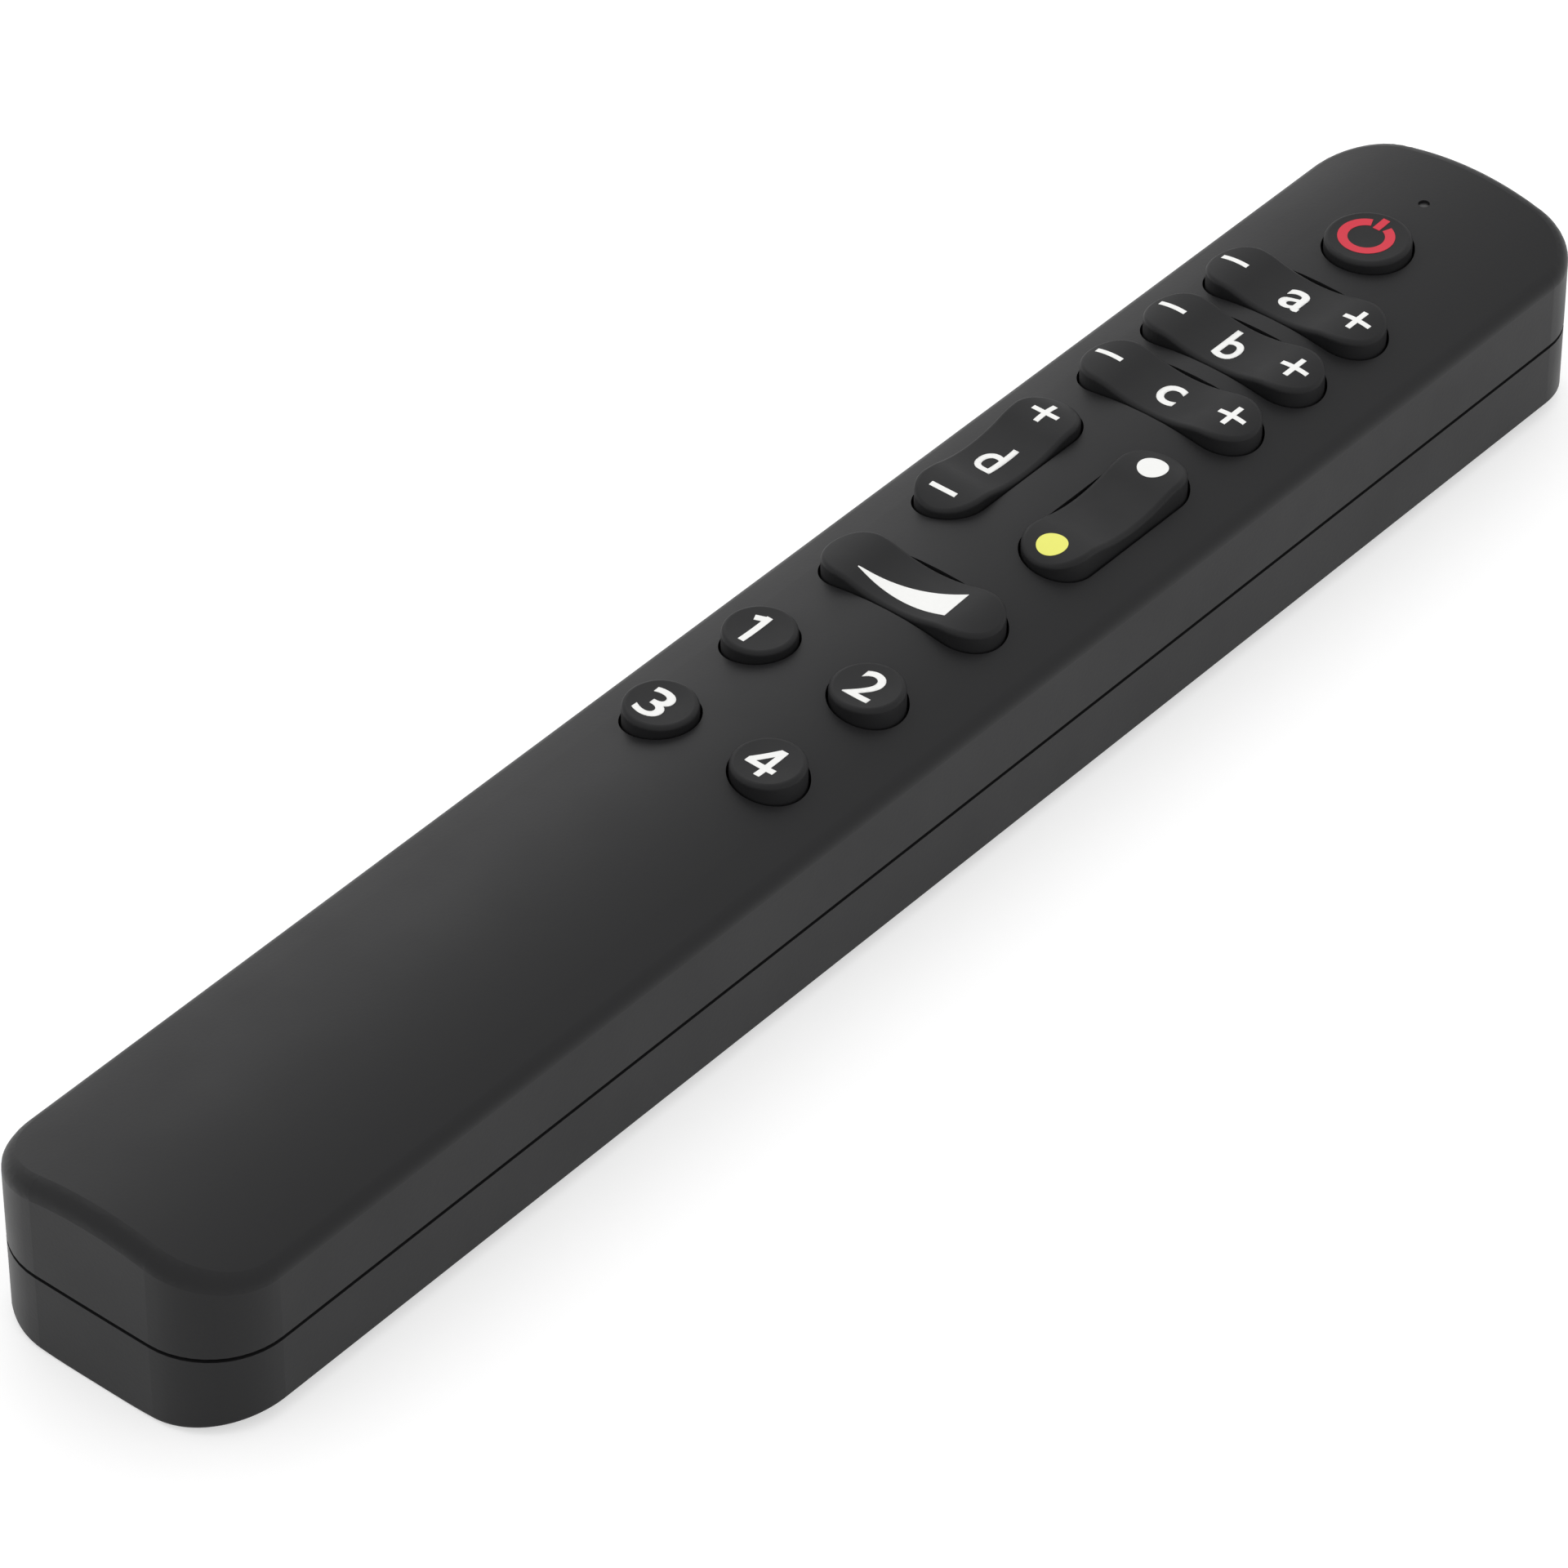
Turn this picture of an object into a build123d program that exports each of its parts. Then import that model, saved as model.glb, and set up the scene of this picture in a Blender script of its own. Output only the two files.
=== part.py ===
from build123d import *
import math
import os

# Handset, millimetres: +Y points to the power key, +Z is up and z = 0 is the underside
LENGTH = 189.9
WIDTH = 28.4
HEIGHT = 19.15
WALL = 1.6
HEAD_CORNER_RADIUS = 6.7
TAIL_CORNER_RADIUS = 7.8
HEAD_BULGE = 0.6
TAIL_BULGE = 0.1
CROWN_RADIUS = 36.0
TOP_EDGE_RADIUS = 1.6
BOTTOM_FLAT_HALF = 3.5
BOTTOM_SIDE_RADIUS = 36.2
BOTTOM_EDGE_RADIUS = 0.3

# Joint between the shells: a shadow gap outside, a tongue in a rebate inside
PARTING_Z = 8.45
PARTING_GAP = 0.4
TONGUE_TOP_Z = 9.7
SKIRT_THICKNESS = 0.85
TONGUE_CLEARANCE = 0.1

# Keys: outlines, heights and the dished top of a rocker
KEY_TOP_Z = 20.05
POWER_KEY_TOP_Z = 20.2
DISH_Z = 19.2
KEY_BOTTOM_Z = 14.4
KEY_CLEARANCE = 0.25
KEY_EDGE_RADIUS = 0.45
COLLAR_WALL = 0.8
COLLAR_BOTTOM_Z = 15.0
COLUMN_X = 6.15
CROSS_HALF_LENGTH = 9.65
UPRIGHT_HALF_LENGTH = 9.95
ROCKER_HALF_WIDTH = 3.45
DISH_RADIUS = 16.0
DISH_HALF = 4.45
ROCKER_END_RADIUS = 8.0
ROUND_KEY_RADIUS = 3.45
POWER_KEY_RADIUS = 4.15
ROUND_KEY_DISH = 0.15
FLANGE_WIDTH = 0.55
FLANGE_THICKNESS = 0.5

# Rocking axis of the rockers, with pins that snap into notches in the collars
PIVOT_Z = 15.9
PIN_RADIUS = 0.6
PIN_REACH = 0.8
PIN_CLEARANCE = 0.05

# Rockers: name, centre x, centre y, and whether the long way runs along Y
ROCKERS = [
    ("a", 0.0, 66.8, False),
    ("b", 0.0, 57.45, False),
    ("c", 0.0, 48.1, False),
    ("d", -COLUMN_X, 30.7, True),
    ("tint", COLUMN_X, 30.7, True),
    ("dimmer", 0.0, 11.2, False),
]

# Round keys: name, centre x, centre y, radius, height of the top
ROUND_KEYS = [
    ("power", 0.0, 77.8, POWER_KEY_RADIUS, POWER_KEY_TOP_Z),
    ("1", -COLUMN_X, -2.55, ROUND_KEY_RADIUS, KEY_TOP_Z),
    ("2", COLUMN_X, -2.55, ROUND_KEY_RADIUS, KEY_TOP_Z),
    ("3", -COLUMN_X, -15.95, ROUND_KEY_RADIUS, KEY_TOP_Z),
    ("4", COLUMN_X, -15.95, ROUND_KEY_RADIUS, KEY_TOP_Z),
]

# Circuit board and rubber mat, stacked under the keys
BOARD_TOP_Z = 12.1
BOARD_THICKNESS = 1.0
BOARD_HALF_WIDTH = 11.4
BOARD_HEAD_Y = 89.0
BOARD_TAIL_Y = -29.5
BOARD_CORNER_RADIUS = 3.0
MAT_THICKNESS = 0.8
MAT_HALF_WIDTH = 11.2
MAT_HEAD_Y = 82.6
MAT_TAIL_Y = -26.5
MAT_CORNER_RADIUS = 2.0
POST_RADIUS = 0.9
POST_TOP_Z = 14.2

# Domes under the keys and the contact pads that they close
DOME_BASE_RADIUS = 2.7
DOME_SHOULDER_RADIUS = 1.7
DOME_WALL = 0.45
DOME_TOP_Z = 14.3
DOME_OFFSET = 6.4
PILL_RADIUS = 1.1
PILL_GAP = 0.6
PAD_RADIUS = 1.7
PAD_THICKNESS = 0.1
MAT_HOLE_RADIUS = 2.1

# Parts soldered to the board: name, centre x, centre y, size along X, Y and Z
BOARD_PARTS = [
    ("radio_module", 0.0, 68.5, 13.0, 10.0, 1.8),
    ("microcontroller", 0.0, 50.0, 7.0, 7.0, 0.9),
    ("crystal", 7.0, 55.0, 3.2, 2.5, 0.8),
]
CAPACITOR_PLACES = [(-7.0, 55.0), (-7.0, 51.0), (-7.0, 47.0), (7.0, 50.0), (7.0, 46.0)]
CAPACITOR_PLACES += [(-3.0, 42.5), (3.0, 42.5)]
CAPACITOR_SIZE = (1.6, 0.8, 0.8)
RESERVOIR_RADIUS = 2.5
RESERVOIR_LENGTH = 7.0
RESERVOIR_Y = -8.0
ANTENNA_LOW_Y = 80.5
ANTENNA_HIGH_Y = 86.5
ANTENNA_HALF_WIDTH = 7.5
ANTENNA_LEGS = 8
ANTENNA_TRACK = 0.5
ANTENNA_THICKNESS = 0.1

# Status light ahead of the power key
PIPE_Y = 86.5
PIPE_RECESS = 0.25
PIPE_RADIUS = 0.5
PIPE_FOOT_RADIUS = 0.9
PIPE_FOOT_HEIGHT = 0.6
PIPE_LOW_Z = 13.0
PIPE_COLLAR_RADIUS = 1.3
PIPE_COLLAR_Z = 15.0
LAMP_SIZE = (1.6, 0.8, 0.6)

# Screws and the posts that they are driven into
BOARD_SCREWS = [(-8.6, 77.8), (8.6, 77.8), (0.0, 17.9), (-6.1, -23.6), (6.1, -23.6)]
CASE_SCREWS = [(0.0, -46.0), (0.0, -74.0)]
POST_OUTER_RADIUS = 1.9
SCREW_RADIUS = 1.0
SCREW_CLEARANCE = 0.08
SCREW_TOP_Z = 15.8
SCREW_HEAD_RADIUS = 1.9
SCREW_HEAD_HEIGHT = 1.1

# Battery bay for two side-by-side round cells, 10.5 mm across and 44.5 mm long
CELL_RADIUS = 5.25
CELL_LENGTH = 44.5
CELL_NUB_RADIUS = 1.9
CELL_NUB_LENGTH = 0.9
CELL_EDGE_RADIUS = 0.5
CELL_X = 5.5
CELL_Z = 7.2
BAY_HALF_WIDTH = 11.0
BAY_SIDE_WALL = 1.0
BAY_END_WALL = 1.2
BAY_HEAD_Y = -34.0
BAY_LENGTH = 50.2
BAY_ROOF_Z = 12.65
BAY_ROOF_THICKNESS = 1.0

# Battery contacts
PLATE_THICKNESS = 0.4
PLATE_WIDTH = 7.6
PLATE_LOW_Z = 3.7
PLATE_HIGH_Z = 10.7
DIMPLE_DEPTH = 0.3
DIMPLE_RADIUS = 1.6
TAB_WIDTH = 2.6
TAB_END_Y = -27.2
TAB_CLEARANCE = 0.3
WIRE_RADIUS = 0.25
SPRING_BASE_RADIUS = 3.3
SPRING_TIP_RADIUS = 2.2
SPRING_TURNS = 3

# Battery cover, let into the underside, with hooks at its head end and a latch at its tail end
COVER_HALF_WIDTH = 11.3
COVER_HEAD_Y = -33.2
COVER_TAIL_Y = -88.0
COVER_THICKNESS = 1.7
COVER_GAP = 0.15
COVER_CORNER_RADIUS = 1.5
HOOK_X = 6.4
HOOK_WIDTH = 3.2
HOOK_ROOT_Y = -34.9
HOOK_TIP_Y = -31.3
HOOK_LOW_Z = 2.05
HOOK_HIGH_Z = 2.85
HOOK_WINDOW_TOP_Z = 3.6
LATCH_HALF_WIDTH = 4.0
LATCH_INNER_Y = -85.7
LATCH_LEAF = 0.6
LATCH_BEND_Z = 5.0
LATCH_LOW_Z = 0.2
LATCH_BARB = 0.55
LATCH_BARB_Z = 1.95
GRIP_Y = -81.0
GRIP_DEPTH = 0.6
GRIP_RADIUS = 22.0
GRIP_RIBS = [-82.8, -81.0, -79.2]
GRIP_RIB_HALF_LENGTH = 3.4
GRIP_RIB_THICKNESS = 0.6
GRIP_RIB_LOW_Z = 0.15

# Snap arms that hold the shells together along the sides, and stiffening ribs
SNAP_Y = [72.0, 28.0, -18.0]
SNAP_WIDTH = 4.0
SNAP_OUTER_X = 12.45
SNAP_THICKNESS = 0.7
SNAP_BARB = 0.45
SNAP_ROOT_Z = 4.0
SNAP_FREE_Z = 7.0
SNAP_BARB_Z = 10.4
SNAP_TOP_Z = 11.6
SNAP_PLAY = 0.15
RIB_Y = [82.0, 58.0, 36.0, 12.0, -25.0]
RIB_THICKNESS = 1.0
RIB_TOP_Z = 5.5

BAY_TAIL_Y = BAY_HEAD_Y - BAY_LENGTH
BAY_ROOF_TOP_Z = BAY_ROOF_Z + BAY_ROOF_THICKNESS
MAT_TOP_Z = BOARD_TOP_Z + MAT_THICKNESS
BOARD_BOTTOM_Z = BOARD_TOP_Z - BOARD_THICKNESS
LOWER_RIM_Z = PARTING_Z - PARTING_GAP / 2
UPPER_RIM_Z = PARTING_Z + PARTING_GAP / 2
INNER_HALF = WIDTH / 2 - WALL
BEYOND = 3.0


def plan(inset=0.0):
    """Handset outline seen from above, moved inwards by inset."""
    half = WIDTH / 2
    head = LENGTH / 2
    head_side = head - HEAD_BULGE
    tail_side = TAIL_BULGE - head
    outline = make_face([
        ThreePointArc((-half, head_side), (0, head), (half, head_side)),
        Line((half, head_side), (half, tail_side)),
        ThreePointArc((half, tail_side), (0, -head), (-half, tail_side)),
        Line((-half, tail_side), (-half, head_side)),
    ])
    outline = fillet(outline.vertices().group_by(Axis.Y)[-1], HEAD_CORNER_RADIUS)
    outline = fillet(outline.vertices().filter_by(lambda v: v.Y < -half), TAIL_CORNER_RADIUS)
    return offset(outline, amount=-inset) if inset > 0 else outline


def prism(sketch, low, high):
    """A sketch on the ground plane, raised between two heights."""
    return extrude(Pos(0, 0, low) * sketch, amount=high - low)


def block(x_low, x_high, y_low, y_high, z_low, z_high):
    """A box given by its six faces."""
    size = (x_high - x_low, y_high - y_low, z_high - z_low)
    middle = ((x_low + x_high) / 2, (y_low + y_high) / 2, (z_low + z_high) / 2)
    return Pos(*middle) * Box(*size)


def disc(x, y, radius):
    return Pos(x, y) * Circle(radius)


def both_sides(shape):
    """A shape on the +X side, with its mirror image."""
    return [shape, mirror(shape, about=Plane.YZ)]


def crown_section(inset):
    """Cross section under the crowned top."""
    side = WIDTH / 2 + BEYOND
    radius = CROWN_RADIUS - inset
    edge = HEIGHT - CROWN_RADIUS + math.sqrt(radius ** 2 - side ** 2)
    return make_face([
        ThreePointArc((-side, edge), (0, HEIGHT - inset), (side, edge)),
        Polyline((side, edge), (side, 0), (-side, 0), (-side, edge)),
    ])


def belly_rise(x, inset):
    """Height of the underside at x, on its round rise to the side."""
    radius = BOTTOM_SIDE_RADIUS - inset
    return BOTTOM_SIDE_RADIUS - math.sqrt(radius ** 2 - (x - BOTTOM_FLAT_HALF) ** 2)


def belly_section(inset):
    """Cross section above the underside, which is flat in the middle and round at the sides."""
    flat = BOTTOM_FLAT_HALF
    side = WIDTH / 2 + BEYOND
    middle = (flat + side) / 2
    rise = belly_rise(side, inset)
    middle_rise = belly_rise(middle, inset)
    return make_face([
        Line((-flat, inset), (flat, inset)),
        ThreePointArc((flat, inset), (middle, middle_rise), (side, rise)),
        Polyline((side, rise), (side, HEIGHT), (-side, HEIGHT), (-side, rise)),
        ThreePointArc((-side, rise), (-middle, middle_rise), (-flat, inset)),
    ])


def along_handset(section):
    """A cross section carried along the whole handset."""
    return extrude(Plane.XZ * section, amount=LENGTH, both=True)


def crowned_body(inset, low):
    """Space inside the upper skin, moved inwards by inset."""
    return prism(plan(inset), low, HEIGHT + 1) & along_handset(crown_section(inset))


def belly_body(inset, high):
    """Space inside the lower skin, moved inwards by inset."""
    return prism(plan(inset), 0, high) & along_handset(belly_section(inset))


def rocker_outline(x, y, upright, grow):
    """Oval of a rocker, grown by one distance."""
    turn = 90 if upright else 0
    half = UPRIGHT_HALF_LENGTH if upright else CROSS_HALF_LENGTH
    oval = SlotOverall(2 * (half + grow), 2 * (ROCKER_HALF_WIDTH + grow))
    return Pos(x, y) * Rot(0, 0, turn) * oval


def key_outlines(grow):
    """Outlines of all keys, grown by one distance."""
    outlines = [rocker_outline(x, y, upright, grow) for _, x, y, upright in ROCKERS]
    return outlines + [disc(x, y, radius + grow) for _, x, y, radius, _ in ROUND_KEYS]


def dome_places():
    """Dome centres by key: two under a rocker, one under a round key."""
    places = {}
    for name, x, y, upright in ROCKERS:
        dx, dy = (0, DOME_OFFSET) if upright else (DOME_OFFSET, 0)
        places[name] = [(x - dx, y - dy), (x + dx, y + dy)]
    for name, x, y, _, _ in ROUND_KEYS:
        places[name] = [(x, y)]
    return places


def pivot_bar(x, y, upright, radius, reach):
    """Round bar across a rocker, on its rocking axis."""
    lie = Rot(0, 90, 0) if upright else Rot(90, 0, 0)
    return Pos(x, y, PIVOT_Z) * lie * Cylinder(radius, 2 * (ROCKER_HALF_WIDTH + reach))


def pivot_notch(x, y, upright):
    """Seats on both sides of a rocker, open below, that its pins snap into."""
    radius = PIN_RADIUS + PIN_CLEARANCE
    reach = KEY_CLEARANCE + COLLAR_WALL + 0.2
    half = ROCKER_HALF_WIDTH + reach
    low = COLLAR_BOTTOM_Z - BEYOND
    half_x, half_y = (half, radius) if upright else (radius, half)
    mouth = block(x - half_x, x + half_x, y - half_y, y + half_y, low, PIVOT_Z)
    return mouth + pivot_bar(x, y, upright, radius, reach)


def snap_pockets():
    """Shallow seats for the barbs in the upper side walls."""
    half = SNAP_WIDTH / 2 + SNAP_PLAY
    depth_x = SNAP_OUTER_X + SNAP_BARB + SNAP_PLAY
    low_z = SNAP_BARB_Z - SNAP_PLAY
    high_z = SNAP_TOP_Z + SNAP_PLAY
    pockets = []
    for y in SNAP_Y:
        pocket = block(INNER_HALF - 1, depth_x, y - half, y + half, low_z, high_z)
        pockets += both_sides(pocket)
    return pockets


def upper_shell():
    """Top moulding: crowned skin, key openings in collars, screw posts and the rebate."""
    outer = crowned_body(0, UPPER_RIM_Z)
    outer = fillet(outer.faces().sort_by(Axis.Z)[-1].edges(), TOP_EDGE_RADIUS)
    shell = outer - crowned_body(WALL, 0)

    inside = [prism(face, COLLAR_BOTTOM_Z, HEIGHT) for face in key_outlines(KEY_CLEARANCE + COLLAR_WALL)]
    inside += [prism(disc(x, y, POST_OUTER_RADIUS), BOARD_TOP_Z, HEIGHT) for x, y in BOARD_SCREWS]
    inside += [prism(disc(x, y, POST_OUTER_RADIUS), BAY_ROOF_TOP_Z, HEIGHT) for x, y in CASE_SCREWS]
    inside.append(prism(disc(0, PIPE_Y, PIPE_COLLAR_RADIUS), PIPE_COLLAR_Z, HEIGHT))
    shell += [piece & outer for piece in inside]

    holes = [prism(face, 0, HEIGHT + 1) for face in key_outlines(KEY_CLEARANCE)]
    holes += [pivot_notch(x, y, upright) for _, x, y, upright in ROCKERS]
    bore = SCREW_RADIUS + SCREW_CLEARANCE
    holes += [prism(disc(x, y, bore), 0, SCREW_TOP_Z) for x, y in BOARD_SCREWS + CASE_SCREWS]
    holes.append(prism(disc(0, PIPE_Y, PIPE_RADIUS + PIN_CLEARANCE), 0, HEIGHT + 1))
    rebate = prism(plan(SKIRT_THICKNESS), 0, TONGUE_TOP_Z)
    return shell - rebate - holes - snap_pockets()


def snap_arms(y):
    """A pair of springy arms with barbs, rooted on the lower side walls."""
    inner_x = SNAP_OUTER_X - SNAP_THICKNESS
    root_x = INNER_HALF + 0.2
    section = make_face(Polyline(
        (inner_x, SNAP_ROOT_Z), (root_x, SNAP_ROOT_Z), (root_x, SNAP_FREE_Z),
        (SNAP_OUTER_X, SNAP_FREE_Z), (SNAP_OUTER_X, SNAP_BARB_Z),
        (SNAP_OUTER_X + SNAP_BARB, SNAP_BARB_Z + 0.2), (SNAP_OUTER_X, SNAP_TOP_Z),
        (inner_x, SNAP_TOP_Z), (inner_x, SNAP_ROOT_Z)))
    arm = Pos(0, y, 0) * extrude(Plane.XZ * section, amount=SNAP_WIDTH / 2, both=True)
    return both_sides(arm)


def cover_outline(grow):
    """Outline of the battery cover, seen from below."""
    length = COVER_HEAD_Y - COVER_TAIL_Y + 2 * grow
    oblong = RectangleRounded(2 * (COVER_HALF_WIDTH + grow), length, COVER_CORNER_RADIUS + grow)
    return Pos(0, (COVER_HEAD_Y + COVER_TAIL_Y) / 2) * oblong


def bay_walls():
    """Roof, sides and ends around the two cells, still solid inside."""
    tail = BAY_TAIL_Y - BAY_END_WALL
    head = BAY_HEAD_Y + BAY_END_WALL
    half = BAY_HALF_WIDTH + BAY_SIDE_WALL
    upper_part = block(-half, half, tail, head, 0, BAY_ROOF_TOP_Z)
    lower_part = block(-WIDTH / 2, WIDTH / 2, tail, head, 0, LOWER_RIM_Z - 0.6)
    return [upper_part, lower_part]


def bay_openings():
    """What is cut out of the bay: cell space, hook windows, tab slots, screw holes, cover recess."""
    cells = block(-BAY_HALF_WIDTH, BAY_HALF_WIDTH, BAY_TAIL_Y, BAY_HEAD_Y, -1, BAY_ROOF_Z)
    recess = prism(cover_outline(COVER_GAP), -1, COVER_THICKNESS + COVER_GAP)
    cuts = [cells, recess]
    half = HOOK_WIDTH / 2 + COVER_GAP
    wall_y = BAY_HEAD_Y + BAY_END_WALL
    cuts += both_sides(block(HOOK_X - half, HOOK_X + half, BAY_HEAD_Y, wall_y, WALL, HOOK_WINDOW_TOP_Z))
    half = TAB_WIDTH / 2 + TAB_CLEARANCE
    low = BOARD_TOP_Z - TAB_CLEARANCE
    cuts += both_sides(block(CELL_X - half, CELL_X + half, BAY_HEAD_Y - 1, wall_y + 1, low, BAY_ROOF_Z))
    cuts += [prism(disc(x, y, SCREW_RADIUS + SCREW_CLEARANCE), 5, HEIGHT) for x, y in CASE_SCREWS]
    return cuts


def lower_shell():
    """Bottom moulding: belly, tongue, ribs, snap arms and the battery bay."""
    outer = belly_body(0, LOWER_RIM_Z)
    rim_of_belly = outer.edges().filter_by(lambda e: e.center().Z < BOTTOM_EDGE_RADIUS + 2)
    seams = lambda e: e.geom_type == GeomType.LINE and abs(abs(e.center().X) - BOTTOM_FLAT_HALF) < 0.01
    outer = fillet(rim_of_belly.filter_by(seams, reverse=True), BOTTOM_EDGE_RADIUS)
    shell = outer - belly_body(WALL, HEIGHT)
    tongue = prism(plan(SKIRT_THICKNESS + TONGUE_CLEARANCE), LOWER_RIM_Z - 1, TONGUE_TOP_Z)
    shell += tongue - prism(plan(WALL), 0, HEIGHT)

    inside = belly_body(WALL / 2, HEIGHT)
    half = RIB_THICKNESS / 2
    ribs = [block(-WIDTH / 2, WIDTH / 2, y - half, y + half, 0, RIB_TOP_Z) for y in RIB_Y]
    shell += [piece & inside for piece in ribs + bay_walls()]
    for y in SNAP_Y:
        shell += snap_arms(y)
    return shell - bay_openings()


def battery_cover():
    """Sliding-fit cover that follows the belly, with two hooks and a ribbed thumb recess."""
    plate = belly_body(0, COVER_THICKNESS) & prism(cover_outline(0), 0, COVER_THICKNESS)
    leg_y = LATCH_INNER_Y - LATCH_LEAF - COVER_GAP
    half = LATCH_HALF_WIDTH + COVER_GAP
    plate -= block(-half, half, COVER_TAIL_Y - 1, leg_y, -1, HEIGHT)
    thumb = Pos(0, GRIP_Y, GRIP_DEPTH - GRIP_RADIUS) * Sphere(GRIP_RADIUS)
    plate -= thumb
    for y in GRIP_RIBS:
        half_x, half_y = GRIP_RIB_HALF_LENGTH, GRIP_RIB_THICKNESS / 2
        plate += block(-half_x, half_x, y - half_y, y + half_y, GRIP_RIB_LOW_Z, COVER_THICKNESS / 2)
    low_x = HOOK_X - HOOK_WIDTH / 2
    high_x = HOOK_X + HOOK_WIDTH / 2
    root = block(low_x, high_x, HOOK_ROOT_Y, COVER_HEAD_Y - 0.2, COVER_THICKNESS / 2, HOOK_HIGH_Z)
    finger = block(low_x, high_x, HOOK_ROOT_Y, HOOK_TIP_Y, HOOK_LOW_Z, HOOK_HIGH_Z)
    return plate + both_sides(root + finger)


def cover_latch():
    """Folded springy leaf at the tail of the cover, with a barb that grips the floor's edge."""
    inner = LATCH_INNER_Y
    outer = COVER_TAIL_Y - 0.05
    middle = (inner + outer) / 2
    big = (inner - outer) / 2
    small = big - LATCH_LEAF
    leaf = make_face([
        Line((inner, COVER_THICKNESS), (inner, LATCH_BEND_Z)),
        ThreePointArc((inner, LATCH_BEND_Z), (middle, LATCH_BEND_Z + big), (outer, LATCH_BEND_Z)),
        Polyline((outer, LATCH_BEND_Z), (outer, LATCH_BARB_Z + 1.2), (outer - LATCH_BARB, LATCH_BARB_Z + 0.2),
                 (outer - LATCH_BARB, LATCH_BARB_Z), (outer, LATCH_BARB_Z), (outer, LATCH_LOW_Z),
                 (outer + LATCH_LEAF, LATCH_LOW_Z), (outer + LATCH_LEAF, LATCH_BEND_Z)),
        ThreePointArc((outer + LATCH_LEAF, LATCH_BEND_Z), (middle, LATCH_BEND_Z + small),
                      (inner - LATCH_LEAF, LATCH_BEND_Z)),
        Polyline((inner - LATCH_LEAF, LATCH_BEND_Z), (inner - LATCH_LEAF, COVER_THICKNESS),
                 (inner, COVER_THICKNESS)),
    ])
    return extrude(Plane.YZ * leaf, amount=LATCH_HALF_WIDTH, both=True)


def rocker_section():
    """Long section of a rocker: dished in the middle, domed at both ends."""
    dish_rise = DISH_RADIUS - math.sqrt(DISH_RADIUS ** 2 - DISH_HALF ** 2)
    slope = math.asin(DISH_HALF / DISH_RADIUS)
    edge_z = DISH_Z + dish_rise
    crest_x = DISH_HALF + ROCKER_END_RADIUS * math.sin(slope)
    crest_z = edge_z + ROCKER_END_RADIUS * (1 - math.cos(slope))
    end_x = UPRIGHT_HALF_LENGTH + 0.5
    end_z = crest_z - ROCKER_END_RADIUS + math.sqrt(ROCKER_END_RADIUS ** 2 - (end_x - crest_x) ** 2)
    return make_face([
        ThreePointArc((-DISH_HALF, edge_z), (0, DISH_Z), (DISH_HALF, edge_z)),
        ThreePointArc((DISH_HALF, edge_z), (crest_x, crest_z), (end_x, end_z)),
        Polyline((end_x, end_z), (end_x, 0), (-end_x, 0), (-end_x, end_z)),
        ThreePointArc((-end_x, end_z), (-crest_x, crest_z), (-DISH_HALF, edge_z)),
    ])


def rocker(x, y, upright):
    """Rocker cap on two side pins."""
    section_plane = Plane.YZ if upright else Plane.XZ
    blank = prism(rocker_outline(0, 0, upright, 0), KEY_BOTTOM_Z, KEY_TOP_Z + 1)
    cap = blank & extrude(section_plane * rocker_section(), amount=WIDTH, both=True)
    rim = cap.edges().filter_by(lambda e: e.center().Z > DISH_Z - 1)
    across = Axis.X if upright else Axis.Y
    seams = rim.filter_by(GeomType.LINE).filter_by(across)
    cap = fillet([edge for edge in rim if edge not in seams], KEY_EDGE_RADIUS)
    return Pos(x, y) * cap + pivot_bar(x, y, upright, PIN_RADIUS, PIN_REACH)


def round_key(x, y, radius, top_z):
    """Round cap with a shallow dish and a flange that stops it under the skin."""
    cap = prism(Circle(radius), KEY_BOTTOM_Z, top_z)
    cap = fillet(cap.edges().sort_by(Axis.Z)[-1], KEY_EDGE_RADIUS)
    dish_half = radius - KEY_EDGE_RADIUS
    dish_radius = (dish_half ** 2 + ROUND_KEY_DISH ** 2) / (2 * ROUND_KEY_DISH)
    cap -= Pos(0, 0, top_z - ROUND_KEY_DISH + dish_radius) * Sphere(dish_radius)
    cap += prism(Circle(radius + FLANGE_WIDTH), KEY_BOTTOM_Z, KEY_BOTTOM_Z + FLANGE_THICKNESS)
    return Pos(x, y) * cap


def dome(x, y):
    """Rubber dome with a contact pill hanging in it."""
    shoulder_z = DOME_TOP_Z - DOME_WALL
    profile = make_face(Polyline(
        (0, DOME_TOP_Z), (DOME_SHOULDER_RADIUS, DOME_TOP_Z), (DOME_BASE_RADIUS, MAT_TOP_Z),
        (DOME_BASE_RADIUS - DOME_WALL, MAT_TOP_Z), (DOME_SHOULDER_RADIUS - DOME_WALL / 2, shoulder_z),
        (PILL_RADIUS, shoulder_z), (PILL_RADIUS, BOARD_TOP_Z + PAD_THICKNESS + PILL_GAP),
        (0, BOARD_TOP_Z + PAD_THICKNESS + PILL_GAP), (0, DOME_TOP_Z)))
    return Pos(x, y) * revolve(Plane.XZ * profile, axis=Axis.Z)


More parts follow.
